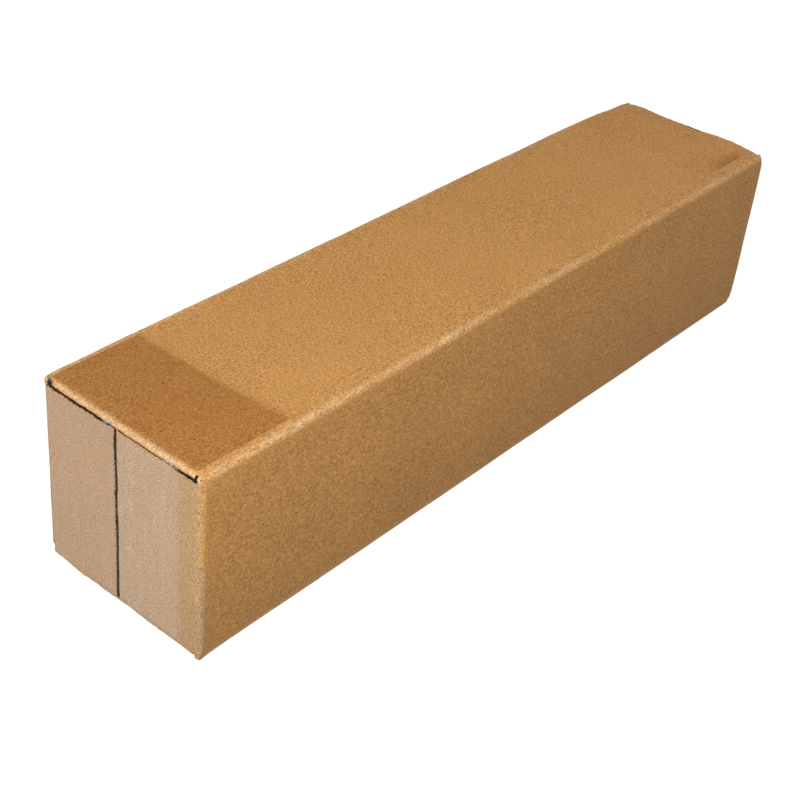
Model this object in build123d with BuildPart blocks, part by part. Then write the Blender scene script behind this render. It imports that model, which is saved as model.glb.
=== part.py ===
"""Long slotted shipping carton of corrugated board, its flaps folded shut and taped at both ends.

The carton is one blank: four panels wrap round the length, a glue tab closes the wrap inside,
and each panel carries a flap at each end. X runs along the length, with the near end at -X,
Y runs across it and Z runs up from the surface that the carton rests on.
"""

from build123d import *
import os
from math import acos, atan2, ceil, degrees, hypot, radians, sin, tan

# Outside of the folded carton, in millimetres
length = 340.0
width = 75.0
height = 75.0

# Single-wall corrugated board
board = 3.0
liner = 0.3
medium = 0.25
flute_pitch = 6.5
flute_slope = 45.0

# Folds: the outside of every crease, and how far the crease presses the flutes shut
fold_radius = 2.4
crush_width = 1.5

# Slots that part the flaps
slot_depth = 2.0
slot_width = 1.2

# Outer flaps, which hang on the side panels and meet at an upright seam
outer_seam = 1.25
near_seam_shift = 1.8
far_seam_shift = -3.3
edge_gap = 0.3

# Inner flaps, which hang on the top and bottom panels behind the outer ones
inner_seam = 2.0
fold_inset = 1.2
flap_gap = 0.3
side_gap = 0.6

# Glue tab along the hidden bottom edge
tab_width = 32.0
tab_clearance = 2.0
tab_taper = 9.0

# Clear packing tape, one strip over each end
tape_thickness = 0.06
tape_width = 66.0
near_tape_shift = 2.0
far_tape_shift = 2.0
near_lap = 41.0
far_lap = 40.0
near_lap_skew = 3.0
far_lap_skew = 1.0
tooth_pitch = 2.0
tooth_depth = 0.7

# The carton stands on the tape under it
half_length = length / 2
half_width = width / 2
half_height = height / 2
mid_height = tape_thickness + half_height

# Planes through the middle of the carton: level, lengthwise and across
level = Plane.XY.offset(mid_height)
lengthwise = Plane(origin=(0, 0, mid_height), x_dir=(1, 0, 0), z_dir=(0, -1, 0))
across = Plane(origin=(0, 0, mid_height), x_dir=(0, 1, 0), z_dir=(1, 0, 0))

# Outer flap: its cut edges clear the folds above and below it
outer_half_height = half_height - fold_radius - edge_gap

# Inner flap: it lies behind the outer flap, and its fold juts out over that flap's cut edge
inner_face = half_length - board - flap_gap
inner_half_width = half_width - board - side_gap
fold_face = half_length - fold_inset
fold_start = fold_face - fold_radius


def flute_channels(outer_face, half_span):
    """Sketch the open channels of the flutes in the flaps at both ends.

    The board lies inward of outer_face, and its cut edges are at plus and minus half_span.
    Channels against the outer liner alternate with channels against the inner liner, and the
    first one is cut open by the edge itself.
    """
    depth = board - 2 * liner - medium
    mean_width = flute_pitch / 2 - medium / sin(radians(flute_slope))
    liner_width = mean_width + depth / tan(radians(flute_slope))
    outer_liner = outer_face - liner
    inner_liner = outer_face - board + liner
    steps = [flute_pitch * k for k in range(ceil(2 * half_span / flute_pitch) + 1)]
    with Locations(*[(outer_liner, half_span - step) for step in steps]):
        Trapezoid(liner_width, depth, flute_slope, rotation=90, align=(Align.CENTER, Align.MIN))
    with Locations(*[(inner_liner, half_span - flute_pitch / 2 - step) for step in steps]):
        Trapezoid(liner_width, depth, flute_slope, rotation=-90, align=(Align.CENTER, Align.MIN))
    Rectangle(2 * outer_face, 2 * half_span, mode=Mode.INTERSECT)
    mirror(about=Plane.YZ)


# Carton: the folded blank, in one piece
with BuildPart() as carton:
    # Outside of the closed carton, with a rounded fold along every edge
    with Locations((0, 0, mid_height)):
        Box(length, width, height)
    fillet(carton.edges(), radius=fold_radius)

    # Inside of the four panels, with the corner between the bottom and back panels left open
    joint = (Align.MAX, Align.MIN)
    with BuildSketch(across):
        Rectangle(width - 2 * board, height - 2 * board)
        with Locations((half_width, -half_height)):
            Rectangle(fold_radius, board + fold_radius, align=joint)
    extrude(amount=half_length, both=True, mode=Mode.SUBTRACT)

    # At that corner the back panel folds into the glue tab, which lies on the bottom panel
    with BuildSketch(across):
        with Locations((half_width - fold_radius, board + fold_radius - half_height)):
            Circle(fold_radius)
        Rectangle(width - 2 * board, height - 2 * board, mode=Mode.SUBTRACT)
        with Locations((half_width - board, board - half_height)):
            Rectangle(tab_width, board, align=joint)
    extrude(amount=half_length - fold_radius, both=True)

    # Tapered ends of the glue tab, clear of the inner flaps
    tab_end = inner_face - board - tab_clearance
    with BuildSketch(level.offset(board - half_height)):
        with BuildLine():
            Polyline(
                (tab_end, half_width - board),
                (half_length, half_width - board),
                (half_length, half_width - board - tab_width),
                (tab_end - tab_taper, half_width - board - tab_width),
                close=True,
            )
        make_face()
        mirror(about=Plane.YZ)
    extrude(amount=board, mode=Mode.SUBTRACT)

    # The top and bottom panels stop where their folds start
    for side in (-1, 1):
        with BuildSketch(level.offset(side * (half_height - board))):
            with Locations((-half_length, 0), (half_length, 0)):
                Rectangle(2 * (half_length - fold_start), width - 2 * fold_radius)
        extrude(amount=side * board, mode=Mode.SUBTRACT)

    # Folds of the top and bottom panels, which jut out over the outer flaps' cut edges
    with BuildSketch(lengthwise):
        with BuildLine():
            fold = CenterArc((fold_start, half_height - fold_radius), fold_radius, 0, 90)
            Polyline(
                fold @ 1,
                (inner_face - board, half_height),
                (inner_face - board, half_height - board),
                (inner_face, half_height - board),
                (inner_face, half_height - fold_radius),
                fold @ 0,
            )
        make_face()
        mirror(about=Plane.XZ)
        mirror(about=Plane.YZ)
    extrude(amount=half_width - fold_radius, both=True)

    # Slots, cut open between each of those folds and the corners beside it
    for side in (-1, 1):
        with BuildSketch(level.offset(side * outer_half_height)):
            with GridLocations(length, width - 2 * fold_radius - slot_width, 2, 2):
                Rectangle(2 * slot_depth, slot_width)
        extrude(amount=side * (half_height - outer_half_height), mode=Mode.SUBTRACT)

    # Inner flaps
    with BuildSketch(level):
        with Locations((board / 2 - inner_face, 0), (inner_face - board / 2, 0)):
            Rectangle(board, 2 * inner_half_width)
    extrude(amount=half_height - board, both=True)
    with BuildSketch(level):
        with Locations((board / 2 - inner_face, 0), (inner_face - board / 2, 0)):
            Rectangle(board, width - 2 * board)
    extrude(amount=inner_seam / 2, both=True, mode=Mode.SUBTRACT)
    with BuildSketch(level):
        flute_channels(inner_face, inner_half_width)
    extrude(amount=half_height - board - crush_width, both=True, mode=Mode.SUBTRACT)

    # Outer flaps
    with BuildSketch(level):
        with Locations((-half_length, 0), (half_length, 0)):
            Rectangle(2 * board, width - 2 * fold_radius)
        Rectangle(length, width, mode=Mode.INTERSECT)
        with Locations((-half_length, near_seam_shift), (half_length, far_seam_shift)):
            Rectangle(2 * board, outer_seam, mode=Mode.SUBTRACT)
    extrude(amount=outer_half_height, both=True)
    with BuildSketch(lengthwise):
        flute_channels(half_length, outer_half_height)
    extrude(amount=half_width - board - crush_width, both=True, mode=Mode.SUBTRACT)

carton.part.label = "carton"


# Outline that the tape is drawn tight round: it leaves each rounded fold in a straight bridge
# to the outer flap's edge
bridge_drop = atan2(edge_gap, fold_radius + fold_inset)
bridge_reach = hypot(edge_gap, fold_radius + fold_inset)
bridge_start = degrees(acos(fold_radius / bridge_reach) - bridge_drop)
with BuildSketch(lengthwise) as carton_outline:
    with BuildLine():
        fold_centre = (fold_start, half_height - fold_radius)
        over_fold = CenterArc(fold_centre, fold_radius, bridge_start, 90 - bridge_start)
        Polyline(
            over_fold @ 1,
            (0, half_height),
            (0, 0),
            (half_length, 0),
            (half_length, outer_half_height),
            over_fold @ 0,
        )
    make_face()
    mirror(about=Plane.XZ)
    mirror(about=Plane.YZ)

with BuildSketch(lengthwise) as tape_outline:
    add(carton_outline.sketch_local)
    offset(amount=tape_thickness)


def end_tape(end, shift, lap, skew):
    """Strip of tape over the near end, where end is -1, or over the far end, where it is 1.

    The laps on the top and bottom panels are cut by a toothed blade, and skew is how much
    longer they are along the strip's front edge.
    """
    teeth = ceil(tape_width / tooth_pitch)
    with BuildPart() as strip:
        extrude(tape_outline.sketch, amount=width, both=True)
        extrude(carton_outline.sketch, amount=width, both=True, mode=Mode.SUBTRACT)
        with BuildSketch():
            with BuildLine():
                cut = [
                    (
                        end * (half_length - lap - skew * (1 - k / teeth) - tooth_depth * (k % 2)),
                        shift + tape_width * (k / teeth - 0.5),
                    )
                    for k in range(teeth + 1)
                ]
                beyond_end = end * (half_length + 2 * tape_thickness)
                back = shift + tape_width / 2
                Polyline(*cut, (beyond_end, back), (beyond_end, back - tape_width), close=True)
            make_face()
        extrude(amount=height + 2 * tape_thickness, mode=Mode.INTERSECT)
    return strip


near_end_tape = end_tape(-1, near_tape_shift, near_lap, near_lap_skew)
near_end_tape.part.label = "near_end_tape"

far_end_tape = end_tape(1, far_tape_shift, far_lap, far_lap_skew)
far_end_tape.part.label = "far_end_tape"

os.makedirs("parts", exist_ok=True)
export_step(carton.part, "parts/carton.step")
export_step(near_end_tape.part, "parts/near_end_tape.step")
export_step(far_end_tape.part, "parts/far_end_tape.step")
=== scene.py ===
"""Looks of a long shipping carton of corrugated board, taped shut at both ends.

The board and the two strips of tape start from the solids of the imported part. Their faces are cut
finer, and the folds, panels and cut edges then get the small irregularities of real board.
"""

import math

import bmesh
import bpy
from bpy.props import FloatProperty, FloatVectorProperty, PointerProperty
from mathutils import Matrix, Vector, noise


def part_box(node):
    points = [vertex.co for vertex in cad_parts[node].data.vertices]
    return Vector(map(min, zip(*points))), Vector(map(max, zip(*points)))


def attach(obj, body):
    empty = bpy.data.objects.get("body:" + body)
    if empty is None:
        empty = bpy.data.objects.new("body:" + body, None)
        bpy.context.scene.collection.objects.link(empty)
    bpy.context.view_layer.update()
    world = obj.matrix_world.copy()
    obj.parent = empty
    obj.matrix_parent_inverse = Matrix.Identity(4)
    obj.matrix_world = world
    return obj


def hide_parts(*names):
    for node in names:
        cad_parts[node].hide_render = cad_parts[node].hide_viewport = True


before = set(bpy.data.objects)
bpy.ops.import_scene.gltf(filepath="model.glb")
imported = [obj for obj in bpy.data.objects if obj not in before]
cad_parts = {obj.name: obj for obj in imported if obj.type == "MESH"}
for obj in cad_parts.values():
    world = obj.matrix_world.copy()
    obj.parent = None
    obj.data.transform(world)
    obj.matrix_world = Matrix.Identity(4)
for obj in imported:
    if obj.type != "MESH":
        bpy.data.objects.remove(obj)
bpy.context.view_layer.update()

bl_info = {
    "name": "Long shipping carton",
    "version": (1, 0, 0),
    "blender": (4, 5, 0),
    "location": "View3D > Sidebar > Carton",
    "description": "Folds and tapes a long carton of corrugated board and sets it on a pale floor",
    "category": "Object",
}

MM = 0.001

# Outside of the folded board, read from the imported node
LOW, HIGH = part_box("carton")
HALF_LENGTH = HIGH[0]
HALF_WIDTH = HIGH[1]
HALF_HEIGHT = (HIGH[2] - LOW[2]) / 2
MID_HEIGHT = (HIGH[2] + LOW[2]) / 2

# Folds: their outside radius, how far the end folds lie behind the faces of the outer flaps, and
# how far below the top panel the cut edges of those flaps lie
FOLD_RADIUS = 2.4 * MM
FOLD_INSET = 1.2 * MM
FLAP_EDGE = 2.7 * MM

# Upright seams between the outer flaps, from the middle of the width
NEAR_SEAM = 1.8 * MM
FAR_SEAM = -3.3 * MM
SEAM_WIDTH = 1.25 * MM

# Cuts that let the faces bend: their spacing beside the folds and between them, the width of the
# band beside a fold, and the spacing across the rims
FINE_CUTS = 0.8 * MM
COARSE_CUTS = 4 * MM
FOLD_BAND = 5 * MM
RIM_CUTS = 0.6 * MM

# Cuts beside the middle of a seam, in millimetres
SEAM_CUTS = (-1.2, -0.62, 0.0, 0.62, 1.2)

# Vertices this near to each other are welded, and a cut this near to a vertex goes through it
WELD_DISTANCE = 0.001 * MM
CUT_SLACK = 0.0005 * MM

# Run of the gap over the near flaps that is pressed shut, across the width
SHUT_START = -26 * MM
SHUT_STOP = 6 * MM

# Far top fold: a hump and a dip across the width, and the notch between them, painted dark as shade
HUMP_HEIGHT = 0.9 * MM
HUMP_PLACE = -18 * MM
DIP_DEPTH = 0.45 * MM
DIP_PLACE = 14 * MM
HUMP_REACH = 16 * MM
NOTCH_PLACE = -1.5 * MM
NOTCH_REACH = 3 * MM

# Back top fold: how far it sags at the far end, and the run over which it does
SAG_DEPTH = 0.9 * MM
SAG_RUN = 55 * MM

# How many times as much as the near top corners each other corner is crushed
NEAR_BOTTOM_CRUSH = 0.2
FAR_FRONT_BOTTOM_CRUSH = 6
FAR_BACK_CRUSH = 3
FAR_FRONT_TOP_CRUSH = 2

# Tape: its thickness, its laps on the top and bottom panels, how much longer they are along the
# front edge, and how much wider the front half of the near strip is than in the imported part
FILM_THICKNESS = 0.06 * MM
LAP_LENGTH = 40.5 * MM
LAP_SKEW = 3 * MM
FRONT_STRETCH = 0.07

# Where the film over the near gap catches the light: a place across the width and its reach
GLINTS = ((5.5 * MM, 3.5 * MM), (-21.5 * MM, 5 * MM))
GLINT_COLOR = (0.42, 0.5, 0.52)

# Patch of the far strip that sticks closely: its middle and its reach, along and across
PATCH_X = 150 * MM
PATCH_Y = -31 * MM
PATCH_LENGTH = 16 * MM
PATCH_WIDTH = 7 * MM

# Tint of the flecks in the paper
FLECK_TINT = (0.55, 0.48, 0.42)

# Camera, fitted to the seven corners of the box that the photograph shows
CAMERA_PLACE = (-0.4298, -0.3059, 0.3695)
CAMERA_RIGHT = (0.64960, -0.75540, 0.08598)
CAMERA_UP = (0.38933, 0.42765, 0.81580)
CAMERA_LENS = 70.8
CAMERA_SENSOR = 36


class CartonBoardSettings(bpy.types.PropertyGroup):
    """Sizes and colours of the corrugated board."""

    panel_bulge: FloatProperty(
        name="Panel bulge",
        description="How far the middles of the panels stand out",
        default=0.35 * MM,
        unit="LENGTH",
    )
    fold_wobble: FloatProperty(
        name="Fold wobble",
        description="How far the folds wander inwards from their straight lines",
        default=0.3 * MM,
        unit="LENGTH",
    )
    crisp_crease: FloatProperty(
        name="Crisp crease",
        description="How far the creases at the bottom and back are pressed square",
        default=0.6 * MM,
        unit="LENGTH",
    )
    corner_crush: FloatProperty(
        name="Corner crush",
        description="How far the corners are pressed in",
        default=0.35 * MM,
        unit="LENGTH",
    )
    edge_fray: FloatProperty(
        name="Edge fray",
        description="How ragged the folds and cut edges of the flaps are",
        default=0.26 * MM,
        unit="LENGTH",
    )
    kraft_color: FloatVectorProperty(
        name="Kraft colour",
        description="Colour of the brown liner",
        subtype="COLOR",
        size=3,
        min=0.0,
        max=1.0,
        default=(0.482, 0.237, 0.066),
    )
    # Partly painted highlight: the pale colour of rubbed folds also stands in for light on the
    # rounded folds
    rubbed_and_highlight_color: FloatVectorProperty(
        name="Rubbed and highlight colour",
        description="Colour of the liner where a fold has been rubbed",
        subtype="COLOR",
        size=3,
        min=0.0,
        max=1.0,
        default=(0.72, 0.53, 0.31),
    )
    flap_grey_color: FloatVectorProperty(
        name="Flap grey colour",
        description="Colour that greys the liner of the flaps",
        subtype="COLOR",
        size=3,
        min=0.0,
        max=1.0,
        default=(0.27, 0.27, 0.21),
    )
    # Painted shade: near-black colour painted where the inside of the board shows in gaps, slots
    # and torn edges
    inside_shade_color: FloatVectorProperty(
        name="Inside shade colour",
        description="Colour of the fluted medium and the inner liner",
        subtype="COLOR",
        size=3,
        min=0.0,
        max=1.0,
        default=(0.012, 0.009, 0.007),
    )


class CartonTapeSettings(bpy.types.PropertyGroup):
    """Sizes and colours of the clear packing tape."""

    film_color: FloatVectorProperty(
        name="Film colour",
        description="Tint of the film and its adhesive",
        subtype="COLOR",
        size=3,
        min=0.0,
        max=1.0,
        default=(0.36, 0.113, 0.001),
    )
    # Partly painted sheen: the pale haze on the flaps also stands in for light reflected off the
    # film
    haze_and_sheen_color: FloatVectorProperty(
        name="Haze and sheen colour",
        description="Colour of the film where its adhesive has not wetted the board",
        subtype="COLOR",
        size=3,
        min=0.0,
        max=1.0,
        default=(0.70, 0.535, 0.39),
    )
    film_cover: FloatProperty(
        name="Film cover",
        description="How much of the board the film hides",
        subtype="FACTOR",
        min=0.0,
        max=1.0,
        default=0.34,
    )


class CartonStageSettings(bpy.types.PropertyGroup):
    """Floor and light."""

    floor_color: FloatVectorProperty(
        name="Floor colour",
        description="Colour of the floor",
        subtype="COLOR",
        size=3,
        min=0.0,
        max=1.0,
        default=(0.2, 0.2, 0.2),
    )
    key_power: FloatProperty(
        name="Key power",
        description="Power of the large lamp over the near end",
        unit="POWER",
        default=119.0,
    )
    fill_power: FloatProperty(
        name="Fill power",
        description="Power of the small lamp over the long side",
        unit="POWER",
        default=0.34,
    )
    back_power: FloatProperty(
        name="Back power",
        description="Power of each of the lamps that light the far end and the back",
        unit="POWER",
        default=21.0,
    )
    world_level: FloatProperty(
        name="World level",
        description="Brightness of the light from all round",
        default=0.18,
    )


def spread(start, stop, step):
    """Evenly spaced places from start to stop, about a step apart."""
    count = max(1, round((stop - start) / step))
    return [start + (stop - start) * k / count for k in range(count + 1)]


def cut_places(half):
    """Places across a panel, finer in the band next to each of its folds."""
    inner = half - FOLD_BAND
    side = spread(inner, half, FINE_CUTS)
    return sorted({-place for place in side} | set(side) | set(spread(-inner, inner, COARSE_CUTS)))


def finer_mesh(node):
    """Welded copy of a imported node's mesh, cut along planes so that its faces can bend."""
    bm = bmesh.new()
    bm.from_mesh(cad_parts[node].data)
    bmesh.ops.remove_doubles(bm, verts=bm.verts, dist=WELD_DISTANCE)
    bmesh.ops.dissolve_limit(bm, angle_limit=math.radians(0.5), verts=bm.verts, edges=bm.edges)
    across = cut_places(HALF_WIDTH)
    for seam in (NEAR_SEAM, FAR_SEAM):
        for offset in SEAM_CUTS:
            across.insert(-1, seam + offset * MM)
    upright = [MID_HEIGHT + place for place in cut_places(HALF_HEIGHT)]
    along = cut_places(HALF_LENGTH)
    for axis, places in enumerate((along, across, upright)):
        for place in places[1:-1]:
            point = Vector((0, 0, 0))
            normal = Vector((0, 0, 0))
            point[axis] = place
            normal[axis] = 1
            geom = bm.verts[:] + bm.edges[:] + bm.faces[:]
            bmesh.ops.bisect_plane(bm, geom=geom, dist=CUT_SLACK, plane_co=point, plane_no=normal)
    cut_rims(bm)
    return bm


def cut_rims(bm):
    """Cuts the folds and cut edges above and below the flaps finer across the width."""
    rims = []
    for face in bm.faces:
        middle = face.calc_center_median()
        at_end = abs(middle.x) > HALF_LENGTH - 4.5 * MM
        if at_end and abs(middle.z - MID_HEIGHT) > HALF_HEIGHT - 4 * MM:
            rims.append(face)
    edges = {edge for face in rims for edge in face.edges}
    verts = {vert for face in rims for vert in face.verts}
    geom = list(verts) + list(edges) + rims
    for place in spread(-HALF_WIDTH, HALF_WIDTH, RIM_CUTS)[1:-1]:
        cut = bmesh.ops.bisect_plane(
            bm,
            geom=geom,
            dist=CUT_SLACK,
            plane_co=Vector((0, place, 0)),
            plane_no=Vector((0, 1, 0)),
        )
        geom = cut["geom"]


def ease(value):
    """Smooth step from 0 to 1."""
    value = min(1.0, max(0.0, value))
    return value * value * (3 - 2 * value)


def near(value, half, reach):
    """1 at the outside of a panel on either side, falling to 0 at reach from it."""
    return ease(1 - (half - abs(value)) / reach)


def near_line(a, half_a, b, half_b, reach):
    """1 on the fold where two panels meet, falling to 0 at reach from it."""
    return near(a, half_a, reach) * near(b, half_b, reach)


def around(value, place, reach):
    """1 at a place, falling to 0 at reach from it."""
    return ease(1 - abs(value - place) / reach)


def wander(x, y, z, size):
    """Smooth noise from -1 to 1 with features of about that size."""
    return noise.noise(Vector((x, y, z)) / size)


def sides(x, y, z):
    """Signs that tell the end, the side and the half of the carton that a place is in."""
    return math.copysign(1, x), math.copysign(1, y), math.copysign(1, z)


def pressed_shut(side_x, y, side_z):
    """How far the fold over a flap's cut edge is pressed against it, 0 to 1, across the width."""
    if side_x < 0 and side_z > 0:
        run = ease((y - SHUT_START) / (3 * MM)) * ease((SHUT_STOP - y) / (3 * MM))
        ragged = 0.9 + 0.3 * wander(y, 0, 0, 4 * MM)
        return 0.5 + 0.5 * run * ragged + 0.2 * wander(y, 3, 0, 5 * MM)
    fade = 1.0 if side_z < 0 else ease((HALF_WIDTH - abs(y) + MM) / (3 * MM))
    return fade * (0.8 + 0.4 * wander(y, 2 * side_x, 3 * side_z, 24 * MM))


def press_out(value, limit, amount):
    """Step that moves a coordinate outwards, but not past the panel it ends at."""
    return math.copysign(max(abs(value), min(limit, abs(value) + amount)), value) - value


def swell_panels(settings, move, x, y, z):
    """Adds the soft bulges of the panels, which fade out at the folds."""
    long_fade = ease((HALF_LENGTH - abs(x)) / (25 * MM))
    cross_y = 1 - (y / HALF_WIDTH) ** 2
    cross_z = 1 - (z / HALF_HEIGHT) ** 2
    top = max(0.0, z / HALF_HEIGHT)
    swell = 0.7 + 0.6 * wander(x, 0, 0, 90 * MM)
    move.z += settings.panel_bulge * top * cross_y * long_fade * swell
    swell = 0.7 + 0.6 * wander(x, 0.3 * math.copysign(1, y), 0, 80 * MM)
    move.y += settings.panel_bulge * (y / HALF_WIDTH) * cross_z * long_fade * swell


def wear_long_folds(settings, move, x, y, z):
    """Adds the wear of the long folds, which wander inwards and are dented here and there."""
    _, side_y, side_z = sides(x, y, z)
    line = near_line(y, HALF_WIDTH, z, HALF_HEIGHT, 6 * MM)
    dent = 0.5 + 0.5 * wander(x, side_y, side_z, 22 * MM)
    dent += 0.35 * max(0.0, wander(x, side_y, 2 + side_z, 7 * MM))
    move.y -= side_y * settings.fold_wobble * line * dent
    move.z -= side_z * settings.fold_wobble * line * dent

    # The long folds at the bottom and back are creased more sharply than the front one
    if side_z < 0 or side_y > 0:
        if z > 0:
            line *= 1 - 0.8 * ease((x - HALF_LENGTH + 24 * MM) / (12 * MM))
        move.y += press_out(y, HALF_WIDTH, settings.crisp_crease * line)
        move.z += press_out(z, HALF_HEIGHT, settings.crisp_crease * line)

    # The back top fold sags towards the far end
    if y > 0 and z > 0:
        sag = ease((x - HALF_LENGTH + SAG_RUN) / (50 * MM))
        move.z -= SAG_DEPTH * sag * near_line(y, HALF_WIDTH, z, HALF_HEIGHT, 12 * MM)


def wear_end_folds(settings, move, x, y, z):
    """Adds the wear of the folds round the ends, which wander inwards."""
    side_x, side_y, side_z = sides(x, y, z)
    line = near_line(x, HALF_LENGTH, z, HALF_HEIGHT, 5 * MM)
    dent = 0.45 + 0.55 * wander(side_x, y, side_z, 14 * MM)
    move.z -= side_z * settings.fold_wobble * line * dent
    move.x -= side_x * 0.6 * settings.fold_wobble * line * dent
    line = near_line(x, HALF_LENGTH, y, HALF_WIDTH, 6 * MM)
    dent = 0.45 + 0.55 * wander(side_x, side_y, z, 16 * MM)
    move.x -= side_x * settings.fold_wobble * line * dent
    move.y -= side_y * settings.fold_wobble * line * dent


def press_gaps(settings, move, x, y, z):
    """Adds what happens at the gaps between the end folds and the flaps' cut edges."""
    side_x, side_y, side_z = sides(x, y, z)
    outward = near(x, HALF_LENGTH, 5 * MM)
    nose = ease((FLAP_EDGE + 0.1 * MM - HALF_HEIGHT + abs(z)) / (0.3 * MM))
    shut = pressed_shut(side_x, y, side_z)
    move.x += press_out(x, HALF_LENGTH, outward * nose * 0.9 * MM * shut)
    move.z += press_out(z, HALF_HEIGHT, outward * nose * 0.4 * MM * shut)

    # The bottom folds are pressed square, but hardly so at the back of the near end
    if side_z < 0:
        square = near_line(x, HALF_LENGTH, z, HALF_HEIGHT, 6 * MM)
        if side_x < 0:
            square *= 1 - 0.9 * ease((y - 22 * MM) / (10 * MM))
        move.x += press_out(x + move.x, HALF_LENGTH, settings.crisp_crease * square)
        move.z += press_out(z + move.z, HALF_HEIGHT, settings.crisp_crease * square)
    elif side_x > 0:
        hump = HUMP_HEIGHT * around(y, HUMP_PLACE, HUMP_REACH)
        hump -= DIP_DEPTH * around(y, DIP_PLACE, HUMP_REACH)
        hump *= near(x, HALF_LENGTH, 9 * MM)
        move += hump * nose * Vector((0.5, 0, 1))

    # Slots at the corners are torn a little wider
    torn = ease((abs(y) - 30.5 * MM) / (3 * MM)) * nose * outward
    if abs(y) < HALF_WIDTH - FOLD_RADIUS - 0.6 * MM:
        move.y -= side_y * 0.55 * MM * torn

    # The cut edges of the outer flaps are torn by the slotting knives
    cut_edge = around(abs(z), HALF_HEIGHT - FLAP_EDGE, 0.5 * MM)
    move.z += side_z * 0.34 * MM * cut_edge * outward * wander(x / 3, y, side_z, 1.3 * MM)
    move.z += side_z * 0.45 * MM * cut_edge * outward * ease(1.6 * shut - 0.5)


def fray_ends(settings, move, x, y, z):
    """Adds the fray along the cut edges, the seams and the end folds."""
    end = near(x, HALF_LENGTH, 6 * MM)
    rough = Vector(
        (
            wander(x, y, z, 3.5 * MM) + wander(x, y, z + 2, 1.3 * MM),
            wander(x + 1, y, z, 4.5 * MM),
            wander(x, y + 1, z, 3.5 * MM) + wander(x + 2, y, z, 1.5 * MM),
        )
    )
    rim = max(near(z, HALF_HEIGHT, 5 * MM), around(y, 0, 6 * MM))
    move += settings.edge_fray * end * rim * rough


def crush_corners(settings, move, x, y, z):
    """Adds the crushing of the corners."""
    side_x, side_y, side_z = sides(x, y, z)
    corner = near_line(x, HALF_LENGTH, y, HALF_WIDTH, 6 * MM) * near(z, HALF_HEIGHT, 6 * MM)
    crush = settings.corner_crush * corner
    crush *= 0.6 + 0.4 * wander(3 * side_x, 5 * side_y, 7 * side_z, 3.1)
    if side_z < 0 and side_x < 0:
        crush *= NEAR_BOTTOM_CRUSH
    elif side_z < 0 and side_y < 0:
        crush *= FAR_FRONT_BOTTOM_CRUSH
    elif side_x > 0:
        crush *= FAR_BACK_CRUSH if side_y > 0 else FAR_FRONT_TOP_CRUSH
    move -= crush * Vector((side_x, side_y, side_z))


def bend_board(bm, settings, lift=0.0):
    """Moves every vertex as the board under it bends, where lift is its height over the board."""
    bm.normal_update()
    for vert in bm.verts:
        x, y, z = vert.co - lift * vert.normal
        z -= MID_HEIGHT
        move = Vector((0, 0, 0))
        swell_panels(settings, move, x, y, z)
        wear_long_folds(settings, move, x, y, z)
        wear_end_folds(settings, move, x, y, z)
        press_gaps(settings, move, x, y, z)
        fray_ends(settings, move, x, y, z)
        crush_corners(settings, move, x, y, z)
        vert.co += move
        vert.co.z = max(vert.co.z, LOW[2] - lift)


def below_skin(gap_a, gap_b):
    """Depth under the outer face of two panels that meet in a rounded fold."""
    if gap_a < FOLD_RADIUS and gap_b < FOLD_RADIUS:
        return FOLD_RADIUS - math.hypot(FOLD_RADIUS - gap_a, FOLD_RADIUS - gap_b)
    return min(gap_a, gap_b)


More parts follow.
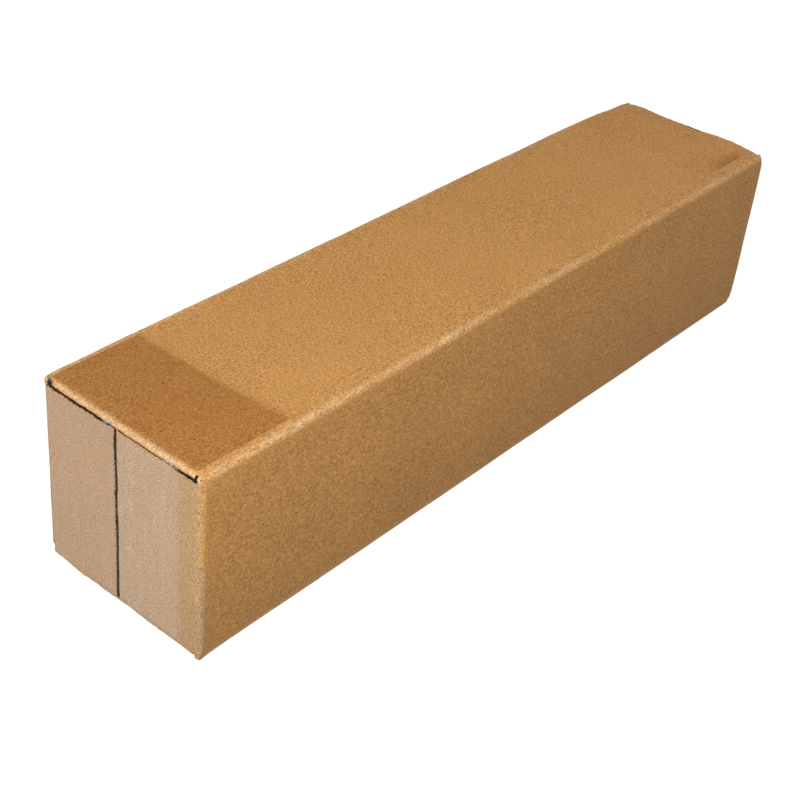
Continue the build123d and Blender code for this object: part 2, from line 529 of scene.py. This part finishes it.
def mark_wear_and_shade(bm):
    """Stores on each vertex how rubbed and painted bright its fold is, its painted shade where it
    lies inside the board, and if on a flap.
    """
    rub_and_highlight = bm.verts.layers.float.new("fold_rub_and_highlight")
    inner = bm.verts.layers.float.new("inside_painted_shade")
    flap = bm.verts.layers.float.new("flap_face")
    for vert in bm.verts:
        x, y, z = vert.co
        z -= MID_HEIGHT
        gap_x = HALF_LENGTH - abs(x)
        gap_y = HALF_WIDTH - abs(y)
        gap_z = HALF_HEIGHT - abs(z)
        seam = NEAR_SEAM if x < 0 else FAR_SEAM

        # Folds are rubbed and painted paler as a highlight, those of the flaps most of all
        on_long = near_line(y, HALF_WIDTH, z, HALF_HEIGHT, 5.6 * MM)
        on_flap = near_line(x, HALF_LENGTH, z, HALF_HEIGHT, 3.1 * MM)
        on_side = near_line(x, HALF_LENGTH, y, HALF_WIDTH, 4.6 * MM)
        rubbing_and_highlight = 0.5 - 0.12 * x / HALF_LENGTH + 0.2 * wander(x, 0, 0, 35 * MM)
        vert[rub_and_highlight] = max(rubbing_and_highlight * on_long, 2.0 * on_flap, 0.1 * on_side)
        if gap_y < 4 * MM and on_flap > 0:
            vert[rub_and_highlight] *= 0.4
        face_depth = (1.6 if z > 0 and y < HALF_WIDTH - 3 * MM else 3.2) * MM
        vert[flap] = ease((face_depth - gap_x) / (1.4 * MM))

        # Painted shade inside: deeper than the liner under the outer faces of the panels and flaps
        deep = min(below_skin(gap_x, gap_y), below_skin(gap_y, gap_z))
        if gap_z < FLAP_EDGE - 0.1 * MM and gap_y > FOLD_RADIUS:
            deep = min(deep, below_skin(gap_x - FOLD_INSET, gap_z))
        else:
            deep = min(deep, below_skin(gap_x, gap_z))
        vert[inner] = ease((deep - 0.2 * MM) / (0.3 * MM))

        # The torn edges of the liner, beside the seam and under the gap, show the medium, painted
        # dark as shade
        on_face = gap_x < 0.4 * MM
        if on_face and abs(y - seam) < 0.65 * MM and gap_z > FLAP_EDGE:
            vert[inner] = max(vert[inner], 0.5)
        if on_face and z > 0 and abs(gap_z - FLAP_EDGE) < 0.1 * MM:
            vert[inner] = max(vert[inner], 0.5)

        # Open slot at the near top corner in front, and the notch in the far top fold, painted dark
        # as shade
        if x < 0 and y < 0 < z and gap_x < 2.6 * MM:
            slot = ease(1.3 - math.hypot(gap_y - 3 * MM, gap_z - 2 * MM) / (1.2 * MM))
            vert[inner] = max(vert[inner], slot)
        on_fold = gap_x < 4 * MM and gap_z < 2 * MM
        if x > 0 and z > 0 and on_fold and abs(y - NOTCH_PLACE) < NOTCH_REACH:
            vert[inner] = max(vert[inner], 0.62)

        # Less painted shade of the inside where the near gap is pressed shut, and away from the
        # gaps
        if x < 0 < z and gap_x < 5 * MM and gap_z < 4 * MM and gap_y > 5 * MM:
            vert[inner] *= 1 - 0.75 * ease((pressed_shut(-1, y, 1) - 0.45) / 0.4)
        if gap_x > 6 * MM or (z < 0 and gap_y < 6 * MM):
            vert[inner] *= 0.25


def mark_film(bm):
    """Stores on each vertex of the film how it lies on the board and how it takes the light."""
    lift = bm.verts.layers.float.new("film_lift")
    haze_and_sheen = bm.verts.layers.float.new("film_haze_and_sheen")
    wet = bm.verts.layers.float.new("film_wet")
    inside = bm.verts.layers.float.new("film_inside")
    glint = bm.verts.layers.float.new("film_glint")
    for vert in bm.verts:
        x, y, z = vert.co
        z -= MID_HEIGHT
        seam = NEAR_SEAM if x < 0 else FAR_SEAM

        # Lifted where it bridges the seam, the gaps and the near top fold
        over_seam = abs(x) > HALF_LENGTH and abs(y - seam) < SEAM_WIDTH / 2 + 0.1 * MM
        over_fold = abs(x) > HALF_LENGTH - 1.3 * MM
        over_edge = over_fold and abs(z) > HALF_HEIGHT - FLAP_EDGE - 0.05 * MM
        vert[lift] = 1.0 if over_edge else 0.86 if over_seam else 0.0
        if x < 0 < z:
            bridge = near_line(x, HALF_LENGTH, z, HALF_HEIGHT, 3.6 * MM)
            vert[lift] = max(vert[lift], 0.75 * bridge)

        # Hazy on the flaps, with a painted sheen, and wetted by its adhesive on the panels, the far
        # strip in a patch
        on_end = ease((abs(x) - HALF_LENGTH + 3 * MM) / (1.6 * MM))
        vert[haze_and_sheen] = on_end * (0.8 if y > seam else 1.0)
        vert[wet] = 1.0
        if x > 0:
            to_patch = math.hypot((x - PATCH_X) / PATCH_LENGTH, (y - PATCH_Y) / PATCH_WIDTH)
            vert[wet] = 0.1 + 0.9 * ease(1.3 - 1.2 * to_patch)

        # 0 to 1 from the cut end of a lap, and on the flaps from the front edge
        lap = HALF_LENGTH - LAP_LENGTH - LAP_SKEW * max(0.0, -y / HALF_WIDTH)
        from_lap = (abs(x) - lap) / (5 * MM)
        from_side = (y + 28.5 * MM) / (9 * MM) if on_end > 0.5 else 1.0
        vert[inside] = min(1.0, max(0.0, min(from_lap, from_side)))

        vert[glint] = 0.0
        if over_edge and x < 0 and z > 0:
            vert[glint] = max(around(y, place, reach) for place, reach in GLINTS)


def drop_sticky_side(bm):
    """Deletes the faces of the film that lie against the board."""
    middle = Vector((0, 0, MID_HEIGHT))
    sticky = []
    for face in bm.faces:
        out = face.calc_center_median() - middle
        lead = max(range(3), key=lambda axis: abs(face.normal[axis]))
        if abs(face.normal[1]) < 0.5 and face.normal[lead] * out[lead] < 0:
            sticky.append(face)
    bmesh.ops.delete(bm, geom=sticky, context="FACES")


def shown_mesh(bm, name):
    """Turns the working mesh into a named object with smooth shading between sharp edges."""
    mesh = bpy.data.meshes.new(name)
    bm.to_mesh(mesh)
    bm.free()
    mesh.shade_smooth()
    mesh.set_sharp_from_angle(angle=math.radians(35))
    piece = bpy.data.objects.new(name, mesh)
    bpy.context.scene.collection.objects.link(piece)
    return piece


class Nodes:
    """Short way to add nodes to a tree and link them."""

    def __init__(self, tree):
        self.tree = tree

    def add(self, kind, **values):
        node = self.tree.nodes.new(kind)
        for key, value in values.items():
            setattr(node, key, value)
        return node

    def link(self, source, target):
        self.tree.links.new(source, target)

    def put(self, target, value):
        if isinstance(value, bpy.types.NodeSocket):
            self.link(value, target)
        else:
            target.default_value = value

    def math(self, operation, a, b=0.0):
        node = self.add("ShaderNodeMath", operation=operation)
        self.put(node.inputs[0], a)
        self.put(node.inputs[1], b)
        return node.outputs[0]

    def noise(self, coords, scale, detail=2.0, rough=0.5):
        node = self.add("ShaderNodeTexNoise")
        self.link(coords, node.inputs["Vector"])
        node.inputs["Scale"].default_value = scale
        node.inputs["Detail"].default_value = detail
        node.inputs["Roughness"].default_value = rough
        return node.outputs["Fac"]

    def ramp(self, value, low, high, start=0.0, stop=1.0):
        node = self.add("ShaderNodeMapRange", interpolation_type="SMOOTHSTEP")
        self.put(node.inputs["Value"], value)
        self.put(node.inputs["From Min"], low)
        self.put(node.inputs["From Max"], high)
        self.put(node.inputs["To Min"], start)
        self.put(node.inputs["To Max"], stop)
        return node.outputs["Result"]

    def mix(self, factor, a, b, blend="MIX"):
        node = self.add("ShaderNodeMix", data_type="RGBA", blend_type=blend)
        self.put(node.inputs["Factor"], factor)
        self.put(node.inputs[6], a)
        self.put(node.inputs[7], b)
        return node.outputs[2]

    def stretch(self, coords, scale):
        node = self.add("ShaderNodeMapping", vector_type="POINT")
        self.link(coords, node.inputs["Vector"])
        node.inputs["Scale"].default_value = scale
        return node.outputs["Vector"]


def new_group(name, inputs, outputs):
    """Empty shader node group with named inputs and outputs."""
    group = bpy.data.node_groups.new(name, "ShaderNodeTree")
    for label, kind, default in inputs:
        socket = group.interface.new_socket(label, in_out="INPUT", socket_type=kind)
        socket.default_value = default
    for label, kind in outputs:
        group.interface.new_socket(label, in_out="OUTPUT", socket_type=kind)
    return group


def paper_grain():
    """Grain of unbleached paper: cloudy mottle, short fibres and dark flecks."""
    name = "Paper grain"
    if name in bpy.data.node_groups:
        return bpy.data.node_groups[name]
    group = new_group(
        name,
        [
            ("Color", "NodeSocketColor", (0.5, 0.5, 0.5, 1)),
            ("Mottle", "NodeSocketFloat", 0.1),
            ("Fleck", "NodeSocketFloat", 0.3),
        ],
        [("Color", "NodeSocketColor"), ("Height", "NodeSocketFloat")],
    )
    n = Nodes(group)
    given = n.add("NodeGroupInput")
    result = n.add("NodeGroupOutput")
    coords = n.add("ShaderNodeTexCoord").outputs["Object"]
    along = n.stretch(coords, (0.6, 1.0, 1.0))
    cloud = n.noise(coords, scale=45, detail=3.0)
    fine = n.noise(coords, scale=1000, detail=3.0, rough=0.7)
    fibre = n.noise(along, scale=1900, detail=2.0, rough=0.6)
    shade = n.math("ADD", n.math("MULTIPLY", cloud, 0.12), n.math("MULTIPLY", fine, 0.5))
    shade = n.math("ADD", shade, n.math("MULTIPLY", fibre, 1.5))
    mean_shade = 1.06
    shade = n.math("SUBTRACT", shade, mean_shade)
    level = n.math("ADD", 1.0, n.math("MULTIPLY", shade, given.outputs["Mottle"]))
    color = n.add("ShaderNodeVectorMath", operation="SCALE")
    n.link(given.outputs["Color"], color.inputs[0])
    n.link(level, color.inputs["Scale"])
    speck = n.noise(along, scale=1150, detail=1.0)
    speck = n.ramp(speck, 0.66, 0.74)
    dark = n.mix(1.0, color.outputs["Vector"], rgba(FLECK_TINT), "MULTIPLY")
    speck = n.math("MULTIPLY", speck, given.outputs["Fleck"])
    flecked = n.mix(speck, color.outputs["Vector"], dark)
    n.link(flecked, result.inputs["Color"])
    height = n.math("ADD", n.math("MULTIPLY", fine, 0.6), n.math("MULTIPLY", fibre, 0.4))
    n.link(height, result.inputs["Height"])
    return group


def group_node(n, group, **values):
    """Places a group in a material and sets its inputs."""
    node = n.add("ShaderNodeGroup", node_tree=group)
    for key, value in values.items():
        n.put(node.inputs[key], value)
    return node


def new_material(name):
    """Material with a Principled shader and the helper that wires it."""
    material = bpy.data.materials.new(name)
    material.use_nodes = True
    n = Nodes(material.node_tree)
    shader = material.node_tree.nodes["Principled BSDF"]
    return material, n, shader


def rgba(color):
    """Colour of three numbers with a full alpha."""
    return (*color, 1.0)


def add_bump(n, shader, height, strength):
    """Gives a material a fine relief."""
    bump = n.add("ShaderNodeBump")
    bump.inputs["Strength"].default_value = strength
    bump.inputs["Distance"].default_value = 0.05 * MM
    n.link(height, bump.inputs["Height"])
    n.link(bump.outputs["Normal"], shader.inputs["Normal"])


def kraft_board(settings):
    """Brown kraft board: grained, paler where folds are rubbed and painted with a highlight, with
    painted shade where the inside shows and towards the floor.
    """
    material, n, shader = new_material("Kraft board")
    coords = n.add("ShaderNodeTexCoord").outputs["Object"]
    rub_and_highlight = n.add("ShaderNodeAttribute", attribute_name="fold_rub_and_highlight").outputs["Fac"]
    inner = n.add("ShaderNodeAttribute", attribute_name="inside_painted_shade").outputs["Fac"]
    flap = n.add("ShaderNodeAttribute", attribute_name="flap_face").outputs["Fac"]

    # Folds paler partly from rubbing and partly as a painted highlight
    patches = n.noise(n.stretch(coords, (0.45, 1.0, 1.0)), scale=420, detail=4.0, rough=0.7)
    patches = n.math("ADD", n.math("MULTIPLY", patches, 1.5), 0.15)
    rubbed_and_lit = n.ramp(n.math("MULTIPLY", rub_and_highlight, patches), 0.15, 1.2)
    color = n.mix(rubbed_and_lit, rgba(settings.kraft_color), rgba(settings.rubbed_and_highlight_color))
    # The liner of the flaps is greyed a little
    color = n.mix(n.math("MULTIPLY", flap, 0.35), color, rgba(settings.flap_grey_color))

    # Painted shade: a little darker towards the floor
    height = n.add("ShaderNodeSeparateXYZ")
    n.link(coords, height.inputs["Vector"])
    low = n.ramp(height.outputs["Z"], 0.0, 55 * MM, start=0.88, stop=1.0)
    color = n.mix(1.0, color, low, "MULTIPLY")

    # Painted shade where the inside shows, beginning in a torn line
    torn = n.math("SUBTRACT", n.noise(coords, scale=1300, detail=3.0, rough=0.65), 0.5)
    torn = n.math("MULTIPLY", torn, n.ramp(inner, 0.02, 0.3, start=0.0, stop=2.0))
    dark = n.ramp(n.math("ADD", inner, torn), 0.36, 0.62)
    color = n.mix(dark, color, rgba(settings.inside_shade_color))

    grain = group_node(n, paper_grain(), Color=color, Mottle=1.45, Fleck=0.8)
    n.link(grain.outputs["Color"], shader.inputs["Base Color"])
    rough = n.ramp(grain.outputs["Height"], 0.3, 0.7, start=0.62, stop=0.78)
    n.link(rough, shader.inputs["Roughness"])
    shader.inputs["Specular IOR Level"].default_value = 0.35
    add_bump(n, shader, grain.outputs["Height"], 0.35)
    return material


def clear_film(settings):
    """Clear packing film: streaky, bare where it bridges a gap, ragged at its cut ends, and hazy
    with a painted sheen on the flaps.
    """
    material, n, shader = new_material("Clear packing film")
    coords = n.add("ShaderNodeTexCoord").outputs["Object"]
    lift = n.add("ShaderNodeAttribute", attribute_name="film_lift").outputs["Fac"]
    wet = n.add("ShaderNodeAttribute", attribute_name="film_wet").outputs["Fac"]
    dry_and_sheen = n.add("ShaderNodeAttribute", attribute_name="film_haze_and_sheen").outputs["Fac"]
    inside = n.add("ShaderNodeAttribute", attribute_name="film_inside").outputs["Fac"]
    glint = n.add("ShaderNodeAttribute", attribute_name="film_glint").outputs["Fac"]

    # Cover: how much of the board the film hides, in streaks of haze and painted sheen
    streaks = n.noise(n.stretch(coords, (1.0, 1.0, 0.06)), scale=420, detail=2.0, rough=0.55)
    patches = n.noise(coords, scale=130, detail=3.0, rough=0.6)
    haze_and_sheen = n.ramp(n.math("MULTIPLY", streaks, patches), 0.2, 0.42)
    cover = n.math("ADD", 0.86, n.math("MULTIPLY", haze_and_sheen, 0.26))
    stuck = n.math("SUBTRACT", 1.0, n.math("MULTIPLY", lift, 0.93))
    cover = n.math("MULTIPLY", cover, stuck)
    cover = n.math("MULTIPLY", cover, n.math("MAXIMUM", wet, dry_and_sheen))
    ragged = n.noise(coords, scale=210, detail=4.0, rough=0.65)
    ragged = n.math("SUBTRACT", inside, n.math("MULTIPLY", ragged, 0.55))
    cover = n.math("MULTIPLY", cover, n.ramp(ragged, -0.22, 0.18, start=0.12, stop=1.0))
    cover = n.math("MULTIPLY", cover, settings.film_cover)

    # Painted glints over the gap, and a milky mottle of haze and painted sheen that is strongest on
    # the flaps
    broken = n.ramp(n.noise(coords, scale=900, detail=2.0, rough=0.6), 0.35, 0.6)
    glint = n.math("MULTIPLY", glint, broken)
    cover = n.math("ADD", cover, n.math("MULTIPLY", glint, 0.55))
    mottle = n.noise(coords, scale=1300, detail=3.0, rough=0.7)
    mottle = n.ramp(mottle, 0.35, 0.65, start=-0.65, stop=0.6)
    milky = n.math("MULTIPLY", n.ramp(dry_and_sheen, 0.0, 1.0, start=0.45, stop=1.0), mottle)
    cover = n.math("MULTIPLY", cover, n.math("ADD", 1.0, milky))

    # Film tint on the panels, and on the flaps a pale haze that is partly a painted sheen
    color = n.mix(dry_and_sheen, rgba(settings.film_color), rgba(settings.haze_and_sheen_color))
    color = n.mix(glint, color, rgba(GLINT_COLOR))
    n.link(color, shader.inputs["Base Color"])
    n.link(cover, shader.inputs["Alpha"])
    rough = n.ramp(patches, 0.3, 0.7, start=0.34, stop=0.46)
    n.link(rough, shader.inputs["Roughness"])
    shader.inputs["Coat Weight"].default_value = 0.4
    shader.inputs["Coat Roughness"].default_value = 0.28
    shader.inputs["Specular IOR Level"].default_value = 0.6
    add_bump(n, shader, patches, 0.3)
    return material


def pale_floor(settings):
    """Plain pale floor that shows white to the camera and in reflections."""
    material, n, shader = new_material("Pale floor")
    shader.inputs["Base Color"].default_value = rgba(settings.floor_color)
    shader.inputs["Roughness"].default_value = 0.9
    shader.inputs["Specular IOR Level"].default_value = 0.1
    path = n.add("ShaderNodeLightPath")
    seen = n.math("MAXIMUM", path.outputs["Is Camera Ray"], path.outputs["Is Glossy Ray"])
    seen = n.math("MAXIMUM", seen, path.outputs["Is Transmission Ray"])
    shader.inputs["Emission Color"].default_value = (1, 1, 1, 1)
    n.link(n.math("MULTIPLY", seen, 0.88), shader.inputs["Emission Strength"])
    return material


class CARTON_OT_fold_board(bpy.types.Operator):
    """Make the folded board of the carton"""

    bl_idname = "carton.fold_board"
    bl_label = "Fold board"

    def execute(self, context):
        settings = context.scene.carton_board
        bm = finer_mesh("carton")
        mark_wear_and_shade(bm)
        bend_board(bm, settings)
        piece = shown_mesh(bm, "folded_board")
        piece.data.materials.append(kraft_board(settings))
        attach(piece, "root")
        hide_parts("carton")
        return {"FINISHED"}


class CARTON_OT_lay_tape(bpy.types.Operator):
    """Lay the strips of clear tape over both ends"""

    bl_idname = "carton.lay_tape"
    bl_label = "Lay tape"

    def execute(self, context):
        film = clear_film(context.scene.carton_tape)
        for node in ("near_end_tape", "far_end_tape"):
            bm = finer_mesh(node)
            drop_sticky_side(bm)
            mark_film(bm)

            # The front edge of the near strip lies nearer to the fold
            for vert in bm.verts:
                if vert.co.x < 0 and vert.co.y < 0:
                    vert.co.y *= 1 + FRONT_STRETCH
            bend_board(bm, context.scene.carton_board, FILM_THICKNESS)
            piece = shown_mesh(bm, node + "_film")
            piece.data.materials.append(film)
            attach(piece, "root")
            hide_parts(node)
        return {"FINISHED"}


def area_lamp(name, power, place, aim, size):
    """Square soft lamp at a place, turned towards an aim."""
    lamp = bpy.data.lights.new(name, "AREA")
    lamp.size = size
    lamp.energy = power
    holder = bpy.data.objects.new(name, lamp)
    bpy.context.scene.collection.objects.link(holder)
    holder.location = place
    holder.rotation_euler = (Vector(aim) - Vector(place)).to_track_quat("-Z", "Y").to_euler()


class CARTON_OT_set_stage(bpy.types.Operator):
    """Set up the floor, the lamps and the camera"""

    bl_idname = "carton.set_stage"
    bl_label = "Set stage"

    def execute(self, context):
        scene = context.scene
        settings = scene.carton_stage
        scene.view_settings.view_transform = "Standard"

        bm = bmesh.new()
        bmesh.ops.create_grid(bm, x_segments=1, y_segments=1, size=60)
        mesh = bpy.data.meshes.new("floor")
        bm.to_mesh(mesh)
        bm.free()
        floor = bpy.data.objects.new("floor", mesh)
        scene.collection.objects.link(floor)
        mesh.materials.append(pale_floor(settings))

        world = bpy.data.worlds.new("Soft surroundings")
        world.use_nodes = True
        n = Nodes(world.node_tree)
        glow = world.node_tree.nodes["Background"]
        glow.inputs["Color"].default_value = (1, 1, 1, 1)
        seen = n.add("ShaderNodeLightPath").outputs["Is Camera Ray"]
        seen = n.math("MULTIPLY", seen, 1 - settings.world_level)
        n.link(n.math("ADD", seen, settings.world_level), glow.inputs["Strength"])
        scene.world = world

        key = settings.key_power
        fill = settings.fill_power
        back = settings.back_power
        area_lamp("key", key, place=(-2.5, -0.85, 1.5), aim=(0, 0, 0.03), size=2.4)
        area_lamp("far end", back, place=(2.3, -0.1, 0.5), aim=(0.1, 0, 0.03), size=0.9)
        area_lamp("back", back, place=(-0.1, 2.3, 0.5), aim=(0, 0, 0.03), size=0.9)
        area_lamp("fill", fill, place=(-0.185, -0.19, 0.28), aim=(-0.12, 0, 0.05), size=0.15)

        camera = bpy.data.cameras.new("camera")
        camera.lens = CAMERA_LENS
        camera.sensor_width = CAMERA_SENSOR
        camera.clip_end = 50
        viewer = bpy.data.objects.new("camera", camera)
        scene.collection.objects.link(viewer)
        right = Vector(CAMERA_RIGHT)
        up = Vector(CAMERA_UP)
        turn = Matrix((right, up, right.cross(up))).transposed().to_4x4()
        viewer.matrix_world = Matrix.Translation(CAMERA_PLACE) @ turn
        scene.camera = viewer
        return {"FINISHED"}


class CARTON_PT_pieces(bpy.types.Panel):
    """Lists the steps that make the carton"""

    bl_idname = "CARTON_PT_pieces"
    bl_label = "Carton"
    bl_space_type = "VIEW_3D"
    bl_region_type = "UI"
    bl_category = "Carton"

    def draw(self, context):
        scene = context.scene
        for settings in (scene.carton_board, scene.carton_tape, scene.carton_stage):
            box = self.layout.box()
            for name in settings.__annotations__:
                box.prop(settings, name)
        for operator in OPERATORS:
            self.layout.operator(operator.bl_idname)


SETTINGS = {
    "carton_board": CartonBoardSettings,
    "carton_tape": CartonTapeSettings,
    "carton_stage": CartonStageSettings,
}
OPERATORS = (CARTON_OT_fold_board, CARTON_OT_lay_tape, CARTON_OT_set_stage)


def register():
    for name, group in SETTINGS.items():
        bpy.utils.register_class(group)
        setattr(bpy.types.Scene, name, PointerProperty(type=group))
    for operator in OPERATORS:
        bpy.utils.register_class(operator)
    bpy.utils.register_class(CARTON_PT_pieces)


def unregister():
    bpy.utils.unregister_class(CARTON_PT_pieces)
    for operator in reversed(OPERATORS):
        bpy.utils.unregister_class(operator)
    for name, group in SETTINGS.items():
        delattr(bpy.types.Scene, name)
        bpy.utils.unregister_class(group)


def main():
    register()
    bpy.ops.carton.set_stage()
    bpy.ops.carton.fold_board()
    bpy.ops.carton.lay_tape()


if __name__ == "__main__":
    main()
